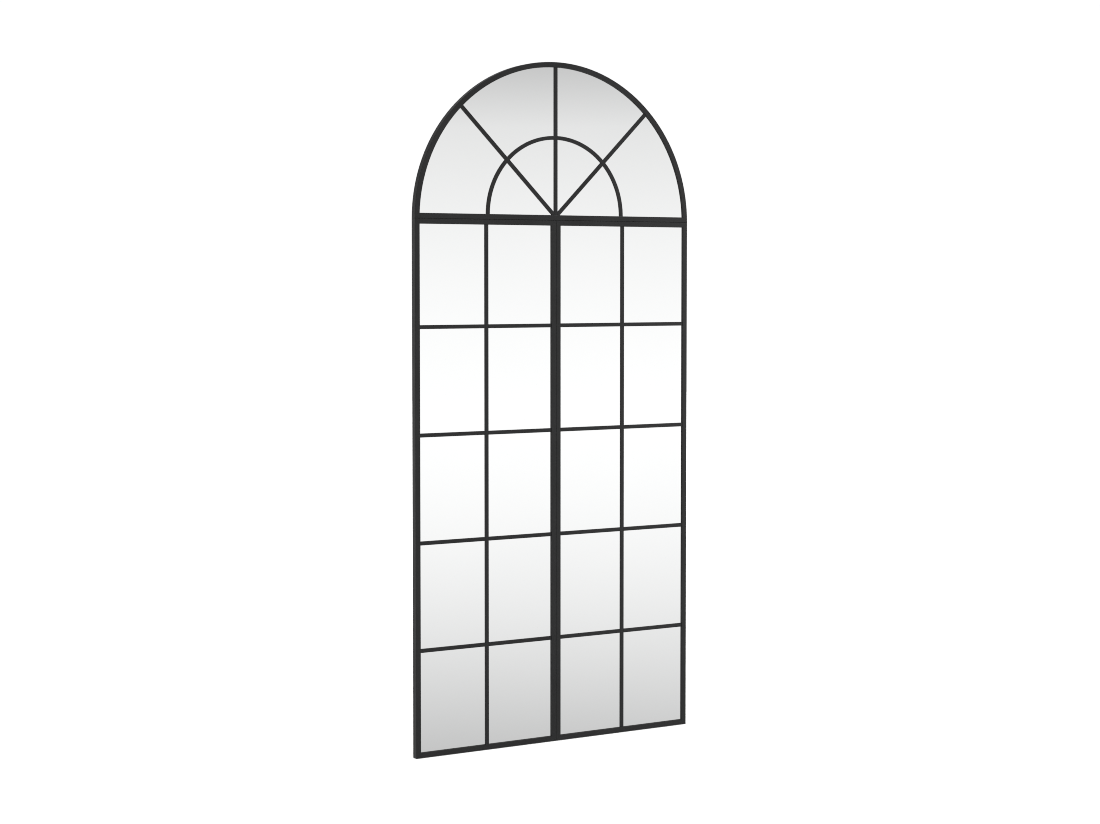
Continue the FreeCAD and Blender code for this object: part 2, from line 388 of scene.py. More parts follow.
@dataclass(frozen=True)
class Hardboard(Finish):
    """Brown hardboard: pressed fibre with the print of the press screen on its rough side."""

    name: str = "hardboard"
    dark: Triple = (0.130, 0.070, 0.032)
    pale: Triple = (0.320, 0.192, 0.100)
    sweep: Clouds = Clouds(4.0, 2.0)
    mottle: Clouds = Clouds(110.0, 6.0)
    fibre: Clouds = Clouds(420.0, 4.0)
    fibre_squeeze: Triple = (1.0, 1.0, 3.0)
    shares: Triple = (0.22, 0.36, 0.42)
    roughness: Range = (0.58, 0.78)
    screen_scale: float = 190.0
    screen_waver: float = 0.6
    print_depth: float = 0.12 * MM
    print_strength: float = 0.7

    def material(self) -> Material:
        """Mottled fibre with a woven print about 1.6 mm apart.

        Returns:
            The material.
        """
        board = Shading(self.name)
        fibre = board.noise(self.fibre, board.stretched(self.fibre_squeeze))
        patterns = (board.noise(self.sweep), board.noise(self.mottle), fibre)
        weighed = [
            board.work_out(Sum.MULTIPLY, pattern, share)
            for pattern, share in zip(patterns, self.shares)
        ]
        tone = board.work_out(Sum.ADD, board.work_out(Sum.ADD, weighed[0], weighed[1]), weighed[2])
        board.feed("Base Color", board.mixed(tone, self.dark, self.pale))
        board.feed("Roughness", board.ranged(fibre, *self.roughness))
        threads = [board.ribs(self.screen_scale, axis, self.screen_waver) for axis in Axis]
        screen = board.work_out(Sum.MULTIPLY, *threads)
        board.bump(board.work_out(Sum.ADD, screen, fibre), self.print_depth, self.print_strength)
        return board.material


@dataclass(frozen=True)
class ZincPlate(Finish):
    """Bright zinc plate with a faint bluish and straw bloom."""

    name: str = "zinc_plate"
    blue: Triple = (0.560, 0.585, 0.620)
    straw: Triple = (0.700, 0.680, 0.610)
    bloom: Clouds = Clouds(160.0, 3.0)
    grain: Clouds = Clouds(2600.0, 2.0)
    roughness: Range = (0.24, 0.42)
    grain_depth: float = 0.02 * MM

    def material(self) -> Material:
        """Plated steel with an uneven polish.

        Returns:
            The material.
        """
        zinc = Shading(self.name)
        grain = zinc.noise(self.grain)
        zinc.feed("Base Color", zinc.mixed(zinc.noise(self.bloom), self.blue, self.straw))
        zinc.feed("Roughness", zinc.ranged(grain, *self.roughness))
        zinc.assign("Metallic", 1.0)
        zinc.bump(grain, self.grain_depth)
        return zinc.material


@dataclass(frozen=True)
class Rubber(Finish):
    """Black rubber or foam, dull and finely pitted."""

    name: str
    deep: Triple
    worn: Triple
    pit_scale: float
    pit_depth: float
    clouds: Clouds = Clouds(120.0, 3.0)
    roughness: Range = (0.68, 0.86)

    def material(self) -> Material:
        """Dull black with small pits.

        Returns:
            The material.
        """
        rubber = Shading(self.name)
        clouds = rubber.noise(self.clouds)
        rubber.feed("Base Color", rubber.mixed(clouds, self.deep, self.worn))
        rubber.feed("Roughness", rubber.ranged(clouds, *self.roughness))
        rubber.bump(rubber.cells(self.pit_scale), self.pit_depth)
        return rubber.material


@dataclass(frozen=True)
class PaleFloor(Finish):
    """A plain pale studio floor, lit a little from within so that no grey ring lies round the foot."""

    name: str = "pale_floor"
    low: Triple = (0.86, 0.86, 0.86)
    high: Triple = (0.90, 0.90, 0.90)
    clouds: Clouds = Clouds(1.5, 2.0)
    roughness: float = 0.8
    gloss: float = 0.1
    glow: float = 0.16

    def material(self) -> Material:
        """Nearly white, with the least unevenness.

        Returns:
            The material.
        """
        floor = Shading(self.name)
        floor.feed("Base Color", floor.mixed(floor.noise(self.clouds), self.low, self.high))
        floor.assign("Roughness", self.roughness)
        floor.assign("Specular IOR Level", self.gloss)
        floor.assign("Emission Color", WHITE)
        floor.assign("Emission Strength", self.glow)
        return floor.material


FINISHES: dict[Slot, Finish] = {
    Slot.BLACK: PowderCoat(),
    Slot.MIRROR: SilveredGlass(),
    Slot.BOARD: Hardboard(),
    Slot.TAPE: Rubber(
        "foam_tape",
        deep=(0.010, 0.010, 0.010),
        worn=(0.020, 0.020, 0.020),
        pit_scale=1800.0,
        pit_depth=0.15 * MM,
    ),
    Slot.BLOCK: Rubber(
        "rubber_block",
        deep=(0.014, 0.014, 0.015),
        worn=(0.030, 0.030, 0.031),
        pit_scale=900.0,
        pit_depth=0.05 * MM,
    ),
    Slot.ZINC: ZincPlate(),
}


def lathe(profile: list[tuple[float, float]], segments: int) -> BMesh:
    """A closed turned shape about Z.

    Args:
        profile: (radius, height) stations from the axis at the bottom to the axis at the top.
        segments: How many steps the turn has.

    Returns:
        The shape.
    """
    bm = bmesh.new()
    verts = [bm.verts.new((radius, 0.0, height)) for radius, height in profile]
    edges = [bm.edges.new(pair) for pair in zip(verts, verts[1:])]
    bmesh.ops.spin(
        bm,
        geom=verts + edges,
        cent=(0.0, 0.0, 0.0),
        axis=UP,
        angle=math.tau,
        steps=segments,
        use_merge=True,
    )
    bmesh.ops.remove_doubles(bm, verts=bm.verts, dist=SAME_PLACE)
    bmesh.ops.recalc_face_normals(bm, faces=bm.faces)
    return bm


def prism(sides: int, radius: float, height: float) -> BMesh:
    """A prism on Z, with its base at the origin.

    Args:
        sides: The number of sides.
        radius: The distance from the axis to a corner.
        height: How far it rises.

    Returns:
        The shape.
    """
    bm = bmesh.new()
    bmesh.ops.create_circle(bm, cap_ends=True, segments=sides, radius=radius)
    raised = bmesh.ops.extrude_face_region(bm, geom=bm.faces[:])
    top = [item for item in raised["geom"] if isinstance(item, BMVert)]
    bmesh.ops.translate(bm, verts=top, vec=(0.0, 0.0, height))
    bmesh.ops.recalc_face_normals(bm, faces=bm.faces)
    return bm


def as_mesh(bm: BMesh, name: str = "work") -> Mesh:
    """A shape as mesh data.

    Args:
        bm: The shape, which is freed.
        name: The data's name.

    Returns:
        The mesh data.
    """
    mesh = bpy.data.meshes.new(name)
    bm.to_mesh(mesh)
    bm.free()
    return mesh


def linked(data: Mesh | Light | Camera) -> Object:
    """Puts a mesh, a light or a camera into the scene.

    Args:
        data: What the object holds.

    Returns:
        The object, with the data's name.
    """
    obj = bpy.data.objects.new(data.name, data)
    bpy.context.scene.collection.objects.link(obj)
    return obj


def combined(first: BMesh, second: BMesh, cut: Cut) -> BMesh:
    """One solid changed by another.

    Args:
        first: The solid to change, which is freed.
        second: The solid that changes it, which is freed.
        cut: What the second one does.

    Returns:
        The new solid.
    """
    body = linked(as_mesh(first))
    tool = linked(as_mesh(second))
    modifier = body.modifiers.new("cut", "BOOLEAN")
    modifier.operation = cut.value
    modifier.object = tool
    modifier.solver = "EXACT"
    depsgraph = bpy.context.evaluated_depsgraph_get()
    mesh = bpy.data.meshes.new_from_object(body.evaluated_get(depsgraph))
    bm = bmesh.new()
    bm.from_mesh(mesh)
    bmesh.ops.remove_doubles(bm, verts=bm.verts, dist=SAME_PLACE)
    bmesh.ops.dissolve_limit(bm, angle_limit=CUT_FLAT, verts=bm.verts, edges=bm.edges)
    # The helper objects go with their meshes.
    for used in (mesh, body.data, tool.data):
        bpy.data.meshes.remove(used)
    return bm


def stand(origin: Vector, along: Vector, across: Vector) -> Matrix:
    """A placing matrix.

    Args:
        origin: Where the shape's own origin goes.
        along: Where its Z axis points.
        across: Where its X axis points.

    Returns:
        The matrix.
    """
    columns = Matrix((across, along.cross(across), along)).transposed()
    return Matrix.Translation(origin) @ columns.to_4x4()


def copies(shape: BMesh, places: list[Matrix]) -> BMesh:
    """One shape repeated.

    Args:
        shape: The shape, which is freed.
        places: Where each copy goes.

    Returns:
        All the copies in one mesh.
    """
    mesh = as_mesh(shape)
    bm = bmesh.new()
    for place in places:
        before = len(bm.verts)
        bm.from_mesh(mesh)
        bm.verts.ensure_lookup_table()
        bmesh.ops.transform(bm, matrix=place, verts=bm.verts[before:])
    bpy.data.meshes.remove(mesh)
    return bm


def join_shapes(first: BMesh, second: BMesh) -> BMesh:
    """Two shapes in one mesh.

    Args:
        first: The shape that takes the other.
        second: The shape to add, which is freed.

    Returns:
        Both shapes.
    """
    mesh = as_mesh(second)
    first.from_mesh(mesh)
    bpy.data.meshes.remove(mesh)
    return first


def ease_edges(obj: Object, radius: float) -> None:
    """Rounds the sharp edges of a piece or node and evens its shading.

    Args:
        obj: The object to finish.
        radius: How far back from each edge the rounding starts.
    """
    weld = obj.modifiers.new("join_faces", "WELD")
    weld.merge_threshold = SAME_PLACE
    flat = obj.modifiers.new("clear_flats", "DECIMATE")
    flat.decimate_type = "DISSOLVE"
    flat.angle_limit = EASED_FLAT
    bevel = obj.modifiers.new("eased_edges", "BEVEL")
    bevel.width = radius
    bevel.segments = EASED_SEGMENTS
    bevel.limit_method = "ANGLE"
    bevel.angle_limit = EASED_FROM
    obj.modifiers.new("even_shading", "WEIGHTED_NORMAL")


def piece(name: str, bm: BMesh, materials: Materials, slot: Slot, body: str, edge: float = 0.0) -> Object:
    """A finished piece of the object, riding on its body.

    Args:
        name: The piece's name.
        bm: Its shape, which is freed.
        materials: The finish for each slot.
        slot: The piece's slot.
        body: The body that carries it.
        edge: The radius that its sharp edges are eased to, if any.

    Returns:
        The object.
    """
    for face in bm.faces:
        face.smooth = True
    obj = linked(as_mesh(bm, name))
    obj.data.materials.append(materials[slot])
    if edge:
        ease_edges(obj, edge)
    else:
        obj.data.set_sharp_from_angle(angle=SHARP_FROM)
        obj.modifiers.new("even_shading", "WEIGHTED_NORMAL").keep_sharp = True
    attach(obj, body)
    return obj


def in_place_of(node: str, bm: BMesh, materials: Materials, body: str, edge: float = 0.0) -> Object:
    """A zinc-plated piece in place of a plain CAD node.

    Args:
        node: The node that it replaces.
        bm: Its shape, which is freed.
        materials: The finish for each slot.
        body: The body that carries it.
        edge: The radius that its sharp edges are eased to, if any.

    Returns:
        The object.
    """
    obj = piece(f"{node}_detail", bm, materials, Slot.ZINC, body, edge)
    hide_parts(node)
    return obj


def solids_of(node: str, reach: float) -> list[Box]:
    """The boxes of the separate solids in a group node.

    Args:
        node: The node's name.
        reach: A point that lies closer than this to a solid's middle belongs to it.

    Returns:
        The lowest and highest corner of each solid.
    """
    groups: list[Box] = []
    for vertex in frame["nodes"][node].data.vertices:
        for index, (low, high) in enumerate(groups):
            if ((low + high) / 2 - vertex.co).length < reach:
                groups[index] = (Vector(map(min, low, vertex.co)), Vector(map(max, high, vertex.co)))
                break
        else:
            groups.append((vertex.co.copy(), vertex.co.copy()))
    return groups


@dataclass(frozen=True)
class ButtonPlace:
    """Where a turn button stands: its node, its pivot on the board's side, and the way to its tip."""

    node: str
    pivot: Vector
    tip: Vector


def button_places() -> list[ButtonPlace]:
    """Every turn button at rest.

    Returns:
        The places, in the order of the joints.
    """
    places = []
    for joint in frame["joints"]:
        low, high = (Vector(corner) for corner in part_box(joint["child"]))
        pivot = Vector(joint["pos_m"])
        pivot.y = low.y
        tip = (low + high) / 2 - pivot
        tip.y = 0.0
        places.append(ButtonPlace(joint["child"], pivot, tip.normalized()))
    return places


class SubAssembly(ABC):
    """Pieces of the mirror that are built and dressed together."""

    @abstractmethod
    def build(self, materials: Materials) -> list[Object]:
        """Makes and dresses the pieces.

        Args:
            materials: The finish for each slot.

        Returns:
            The pieces.
        """


@dataclass(frozen=True)
class HexHead:
    """A hexagon with the bevelled corners of a bolt head or nut."""

    across_flats: float
    height: float
    both_ends: bool = False
    face_share: float = 0.95
    cone_share: float = 1.05
    bevel_degrees: float = 30.0
    segments: int = 48

    def build(self) -> BMesh:
        """The hexagon on Z, with a flat facing +X.

        Returns:
            The shape.
        """
        corner = self.across_flats / math.sqrt(3.0)
        face = self.across_flats / 2 * self.face_share
        outside = corner * self.cone_share
        slope = math.tan(math.radians(self.bevel_degrees))
        fall = (corner - face) * slope
        spare = (outside - face) * slope
        foot = [(0.0, -fall), (outside, -fall)]
        if self.both_ends:
            foot = [(0.0, 0.0), (face, 0.0), (outside, spare)]
        top = [(outside, self.height - spare), (face, self.height), (0.0, self.height)]
        cone = lathe(foot + top, self.segments)
        return combined(prism(HEXAGON, corner, self.height), cone, Cut.KEEP_SHARED)


@dataclass(frozen=True)
class ThreadedRod:
    """A round rod with thread rings at its far end and a chamfered tip."""

    radius: float
    length: float
    plain: float
    pitch: float
    segments: int
    depth_share: float = 0.55
    root_from: float = 0.44
    root_to: float = 0.56
    crest_from: float = 0.94

    def build(self) -> BMesh:
        """The rod on Z, with its plain end at the origin.

        Returns:
            The shape.
        """
        root = self.radius - self.depth_share * self.pitch
        profile = [(0.0, 0.0), (self.radius, 0.0), (self.radius, self.plain)]
        for turn in range(int((self.length - self.plain) / self.pitch)):
            base = self.plain + turn * self.pitch
            profile += [
                (root, base + self.root_from * self.pitch),
                (root, base + self.root_to * self.pitch),
                (self.radius, base + self.crest_from * self.pitch),
            ]
        profile += [(root, self.length), (0.0, self.length)]
        return lathe(profile, self.segments)


@dataclass(frozen=True)
class HexBolt:
    """A screw or bolt with a hexagon head and a threaded rod."""

    across_flats: float
    head_height: float
    rod: ThreadedRod

    def build(self, seats: list[Seat]) -> BMesh:
        """The bolt, repeated.

        Args:
            seats: Where each copy goes.

        Returns:
            All the copies in one mesh.
        """
        head = HexHead(self.across_flats, self.head_height).build()
        heads = copies(head, [stand(seat, -along, across) for seat, along, across in seats])
        rods = copies(self.rod.build(), [stand(seat, along, across) for seat, along, across in seats])
        return join_shapes(heads, rods)


@dataclass
class ButtonScrews(SubAssembly):
    """The hexagon-headed screws that the turn buttons swivel on."""

    node: str = "turn_button_screws"
    screw: HexBolt = HexBolt(
        across_flats=5.5 * MM,
        head_height=2.0 * MM,
        rod=ThreadedRod(radius=1.5 * MM, length=6.0 * MM, plain=2.0 * MM, pitch=0.5 * MM, segments=24),
    )

    def build(self, materials: Materials) -> list[Object]:
        """Makes all the screws as one piece.

        Args:
            materials: The finish for each slot.

        Returns:
            The piece.
        """
        under_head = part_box(self.node)[1][1] - self.screw.head_height
        seats = [
            (Vector((place.pivot.x, under_head, place.pivot.z)), -TO_WALL, UP)
            for place in button_places()
        ]
        return [in_place_of(self.node, self.screw.build(seats), materials, FRAME_BODY)]


@dataclass
class JoiningBolts(SubAssembly):
    """The bolts and nuts that hold the three sections together."""

    bolt_node: str = "joining_bolts"
    nut_node: str = "joining_nuts"
    bolt: HexBolt = HexBolt(
        across_flats=8.0 * MM,
        head_height=3.5 * MM,
        rod=ThreadedRod(radius=2.5 * MM, length=12.0 * MM, plain=7.0 * MM, pitch=0.8 * MM, segments=36),
    )
    nut_height: float = 4.0 * MM
    countersink: float = 0.4 * MM
    bore_share: float = 1.02
    reach: float = 20.0 * MM
    from_middle_seam: float = 20.0 * MM

    def stations(self, node: str) -> list[Spot]:
        """Where a node's fasteners start, and the way that they run.

        Args:
            node: The bolts' or nuts' node.

        Returns:
            The middle of each fastener's low end, and its direction.
        """
        found = []
        for low, high in solids_of(node, self.reach):
            middle = (low + high) / 2
            if abs(middle.x) < self.from_middle_seam:
                found.append((Vector((low.x, middle.y, middle.z)), RIGHT))
            else:
                found.append((Vector((middle.x, middle.y, low.z)), UP))
        return found

    def nut(self) -> BMesh:
        """A nut on Z with a countersunk bore.

        Returns:
            The shape.
        """
        bore = self.bolt.rod.radius * self.bore_share
        spare = self.countersink
        flare = bore + self.countersink + spare
        cutter = lathe([
            (0.0, -spare),
            (flare, -spare),
            (bore, self.countersink),
            (bore, self.nut_height - self.countersink),
            (flare, self.nut_height + spare),
            (0.0, self.nut_height + spare),
        ], self.bolt.rod.segments)
        blank = HexHead(self.bolt.across_flats, self.nut_height, both_ends=True).build()
        return combined(blank, cutter, Cut.TAKE_AWAY)

    def build(self, materials: Materials) -> list[Object]:
        """Makes all the bolts as one piece and all the nuts as another.

        Args:
            materials: The finish for each slot.

        Returns:
            The two pieces.
        """
        seats = [
            (start + along * self.bolt.head_height, along, TO_WALL)
            for start, along in self.stations(self.bolt_node)
        ]
        nuts = [stand(start, along, TO_WALL) for start, along in self.stations(self.nut_node)]
        shapes = {self.bolt_node: self.bolt.build(seats), self.nut_node: copies(self.nut(), nuts)}
        return [in_place_of(node, shape, materials, FRAME_BODY) for node, shape in shapes.items()]


@dataclass
class TurnButtons(SubAssembly):
    """The stamped buttons that swivel over the backing boards."""

    width: float = 7.0 * MM
    reach: float = 14.0 * MM
    thickness: float = 1.5 * MM
    corner_radius: float = 2.4 * MM
    corner_segments: int = 6
    hole_radius: float = 1.58 * MM
    hole_segments: int = 32
    rib_from: float = 4.6 * MM
    rib_to: float = 15.2 * MM
    rib_width: float = 2.6 * MM
    rib_height: float = 0.8 * MM
    rib_segments: int = 20
    rib_rings: int = 12
    edge: float = 0.25 * MM

    def plate(self) -> BMesh:
        """The flat blank on Z with rounded corners, pivot at the origin and X pointing to the tip.

        Returns:
            The shape.
        """
        bm = bmesh.new()
        bmesh.ops.create_cube(bm, size=1.0)
        length = self.reach + self.width
        bmesh.ops.scale(bm, vec=(length, self.width, self.thickness), verts=bm.verts)
        bmesh.ops.translate(bm, vec=(self.reach / 2, 0.0, self.thickness / 2), verts=bm.verts)
        upright = [
            edge
            for edge in bm.edges
            if abs(edge.verts[0].co.z - edge.verts[1].co.z) > self.thickness / 2
        ]
        bmesh.ops.bevel(
            bm,
            geom=upright,
            offset=self.corner_radius,
            offset_type="OFFSET",
            affect="EDGES",
            segments=self.corner_segments,
            profile=0.5,
            material=-1,
        )
        return bm

    def rib(self) -> BMesh:
        """The long pressed rib that stiffens the blank: a ball pulled apart along X and flattened.

        Returns:
            The shape.
        """
        bm = bmesh.new()
        bmesh.ops.create_uvsphere(bm, u_segments=self.rib_segments, v_segments=self.rib_rings, radius=0.5)
        poles_to_x = Matrix.Rotation(math.pi / 2, 3, "Y")
        bmesh.ops.rotate(bm, cent=(0.0, 0.0, 0.0), matrix=poles_to_x, verts=bm.verts)
        bmesh.ops.scale(bm, vec=(self.rib_width, self.rib_width, 2 * self.rib_height), verts=bm.verts)
        half = (self.rib_to - self.rib_from - self.rib_width) / 2
        for vert in bm.verts:
            if abs(vert.co.x) > SAME_PLACE:
                vert.co.x += math.copysign(half, vert.co.x)
        middle = (self.rib_from + self.rib_to) / 2
        bmesh.ops.translate(bm, vec=(middle, 0.0, self.thickness), verts=bm.verts)
        return bm

    def hole(self) -> BMesh:
        """The round bar that cuts the screw's hole.

        Returns:
            The shape.
        """
        low = -self.thickness
        high = 2 * self.thickness
        profile = [(0.0, low), (self.hole_radius, low), (self.hole_radius, high), (0.0, high)]
        return lathe(profile, self.hole_segments)

    def build(self, materials: Materials) -> list[Object]:
        """Makes each button on its own body.

        Args:
            materials: The finish for each slot.

        Returns:
            The pieces.
        """
        blank = combined(combined(self.plate(), self.rib(), Cut.ADD), self.hole(), Cut.TAKE_AWAY)
        made = []
        for place in button_places():
            shape = copies(blank.copy(), [stand(place.pivot, TO_WALL, place.tip)])
            made.append(in_place_of(place.node, shape, materials, place.node, self.edge))
        blank.free()
        return made


@dataclass(frozen=True)
class Bead:
    """One weld bead that runs towards the wall: where it starts, and its size."""

    start: Vector
    length: float
    radius: float
    ripple: float = 0.09
    ripple_pitch: float = 1.1 * MM
    ripple_steps: int = 3
    fewest_ripples: int = 2
    steps_off_end: float = 1.5
    end_width: float = 0.62
    end_rise: float = 0.12
    segments: int = 14

    def build(self) -> BMesh:
        """The rippled bead with rounded ends, in place.

        Returns:
            The shape.
        """
        end_radius = self.end_width * self.radius
        end_rise = self.end_rise * self.radius
        profile = [(0.0, 0.0), (end_radius, end_rise)]
        steps = max(self.fewest_ripples, round(self.length / self.ripple_pitch)) * self.ripple_steps
        for step in range(steps):
            share = (step + self.steps_off_end) / (steps - 1 + 2 * self.steps_off_end)
            swell = 1.0 + self.ripple * (1.0 - step % self.ripple_steps)
            profile.append((self.radius * swell, self.length * share))
        profile += [(end_radius, self.length - end_rise), (0.0, self.length)]
        bm = lathe(profile, self.segments)
        bmesh.ops.transform(bm, matrix=stand(self.start, TO_WALL, UP), verts=bm.verts)
        return bm


@dataclass
class Section(SubAssembly):
    """One welded section of the mirror, dressed node by node, with its weld beads."""

    name: str
    steel: float = 3.0 * MM
    coat_edge: float = 0.25 * MM
    glass_edge: float = 0.35 * MM
    bead_front: float = -15.0 * MM
    corner_bead: float = 2.1 * MM
    corner_bead_back: float = -0.7 * MM
    lug_bead: float = 1.5 * MM
    lug_half: float = 7.0 * MM
    button_inset: float = 7.5 * MM
    plate_bead: float = 1.2 * MM
    plate_bead_back: float = -0.2 * MM
    plate_reach: float = 100.0 * MM
    bead_lift: float = 0.25

    @abstractmethod
    def corners(self) -> list[Spot]:
        """The inner corners between the legs, each with the way into the section."""

    @abstractmethod
    def leg_above(self, x: float) -> float:
        """The height of the upper leg's inner face at a place across the section."""

    def rows(self) -> list[dict]:
        """The record's rows for the section's nodes."""
        return [row for row in frame["record"]["subparts"] if row["node"].startswith(self.name)]

    def box(self) -> Box:
        """The box round all of the section's nodes.

        Returns:
            Its lowest and highest corner.
        """
        lows, highs = zip(*(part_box(row["node"]) for row in self.rows()))
        return Vector(map(min, *lows)), Vector(map(max, *highs))

    def dress(self, materials: Materials) -> list[Object]:
        """Gives every node of the section its finish and eases its edges.

        Args:
            materials: The finish for each slot.

        Returns:
            The nodes' objects.
        """
        eased = {
            Slot.BLACK: self.coat_edge,
            Slot.MIRROR: self.glass_edge,
            Slot.BOARD: self.glass_edge,
            Slot.BLOCK: self.glass_edge,
        }
        dressed = []
        for row in self.rows():
            slot = Slot(row["material_slot"])
            obj = frame["nodes"][row["node"]]
            obj.data.materials.clear()
            obj.data.materials.append(materials[slot])
            if slot in eased:
                ease_edges(obj, eased[slot])
            dressed.append(obj)
        return dressed

    def lug_ends(self) -> list[Spot]:
        """Where each lug's two ends meet the leg.

        Returns:
            Each place on the leg's inner face, with the way off the leg and the lug.
        """
        ends = []
        for place in button_places():
            if not place.node.startswith(self.name):
                continue
            sideways = place.tip.cross(TO_WALL)
            foot = place.pivot - place.tip * (self.button_inset - self.steel)
            for side in SIDES:
                ends.append((foot + sideways * (side * self.lug_half), place.tip + sideways * side))
        return ends

    def plate_corners(self) -> list[Spot]:
        """The corners between the hanger plates' sides and the leg above them.

        Returns:
            Each corner, with the way off the plate and the leg.
        """
        found = []
        for plate in solids_of(f"{self.name}_hanger_plates", self.plate_reach):
            for corner, side in zip(plate, SIDES):
                place = Vector((corner.x, 0.0, self.leg_above(corner.x)))
                found.append((place, Vector((side, 0.0, -1.0))))
        return found

    def beads(self) -> list[Bead]:
        """Every weld bead of the section.

        Returns:
            The beads.
        """
        lug_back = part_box(f"{self.name}_backing_board")[1][1] - self.lug_bead / 2
        plate_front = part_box(f"{self.name}_hanger_plates")[0][1]
        rows = (
            (self.corners(), self.bead_front, self.corner_bead_back, self.corner_bead),
            (self.lug_ends(), self.bead_front, lug_back, self.lug_bead),
            (self.plate_corners(), plate_front, self.plate_bead_back, self.plate_bead),
        )
        found = []
        for places, near, far, radius in rows:
            for place, off in places:
                lift = Vector((off.x, 0.0, off.z)) * (self.bead_lift * radius)
                found.append(Bead(Vector((place.x, near, place.z)) + lift, far - near, radius))
        return found

    def build(self, materials: Materials) -> list[Object]:
        """Dresses the section's nodes and makes its beads as one piece.

        Args:
            materials: The finish for each slot.

        Returns:
            The nodes' objects and the beads.
        """
        dressed = self.dress(materials)
        bm = bmesh.new()
        for bead in self.beads():
            join_shapes(bm, bead.build())
        return dressed + [piece(f"{self.name}_welds", bm, materials, Slot.BLACK, FRAME_BODY)]


@dataclass
class PanelSection(Section):
    """A rectangular panel."""

    def corners(self) -> list[Spot]:
        """The inner corners between the legs.

        Returns:
            Each corner, with the way into the panel.
        """
        low, high = self.box()
        found = []
        for x, way_x in ((low.x + self.steel, 1.0), (high.x - self.steel, -1.0)):
            for z, way_z in ((low.z + self.steel, 1.0), (high.z - self.steel, -1.0)):
                found.append((Vector((x, 0.0, z)), Vector((way_x, 0.0, way_z))))
        return found

    def leg_above(self, x: float) -> float:
        """The height of the top rail's leg, the same all the way across."""
        return self.box()[1].z - self.steel


@dataclass
class ArchSection(Section):
    """The half-round section on top."""

    def inside(self) -> tuple[float, float]:
        """The inner face of the ring's leg.

        Returns:
            Its radius, and the height of its middle.
        """
        low, high = self.box()
        return high.x - self.steel, low.z

    def corners(self) -> list[Spot]:
        """The inner corners between the ring and the base rail.

        Returns:
            Each corner, with the way into the arch.
        """
        radius, base = self.inside()
        reach = math.sqrt(radius**2 - self.steel**2)
        return [
            (Vector((side * reach, 0.0, base + self.steel)), Vector((-side, 0.0, 1.0)))
            for side in SIDES
        ]

    def leg_above(self, x: float) -> float:
        """The height of the ring's leg at a place across the arch."""
        radius, base = self.inside()
        return base + math.sqrt(radius**2 - x**2)


@dataclass(frozen=True)
class SoftPanel:
    """A soft light panel that faces the mirror and leaves the floor alone."""

    name: str
    place: Triple
    size: tuple[float, float]
    watts_per_area: float
    aim: Triple = (0.0, 0.0, 1.2)

    def build(self, lit: Collection) -> None:
        """Makes the panel, out of the camera's sight.

        Args:
            lit: The pieces that it lights.
        """
        data = bpy.data.lights.new(self.name, "AREA")
        data.shape = "RECTANGLE"
        data.size, data.size_y = self.size
        data.energy = self.watts_per_area * data.size * data.size_y
        light = linked(data)
        light.location = self.place
        facing = Vector(self.aim) - Vector(self.place)
        light.rotation_euler = facing.to_track_quat("-Z", "Y").to_euler()
        light.visible_camera = False
        light.light_linking.receiver_collection = lit


@dataclass(frozen=True)
class TopLight:
    """A wide soft light overhead, which leaves no glint."""

    strength: float = 3.5
    spread_degrees: float = 70.0
    lean_degrees: float = 18.0
    turn_degrees: float = -20.0

    def build(self) -> None:
        """Makes the light."""
        data = bpy.data.lights.new("top_light", "SUN")
        data.energy = self.strength
        data.angle = math.radians(self.spread_degrees)
        light = linked(data)
        turn = (self.lean_degrees, 0.0, self.turn_degrees)
        light.rotation_euler = [math.radians(degrees) for degrees in turn]
        light.visible_glossy = False


@dataclass(frozen=True)
class Floor:
    """A wide floor just under the mirror, out of its reflections."""

    size: float = 30.0
    gap: float = 1.0 * MM
    finish: Finish = PaleFloor()

    def build(self) -> None:
        """Makes the floor."""
        bm = bmesh.new()
        bmesh.ops.create_grid(bm, x_segments=1, y_segments=1, size=self.size / 2)
        bmesh.ops.translate(bm, verts=bm.verts, vec=(0.0, 0.0, -self.gap))
        floor = linked(as_mesh(bm, "floor"))
        floor.data.materials.append(self.finish.material())
        floor.visible_glossy = False


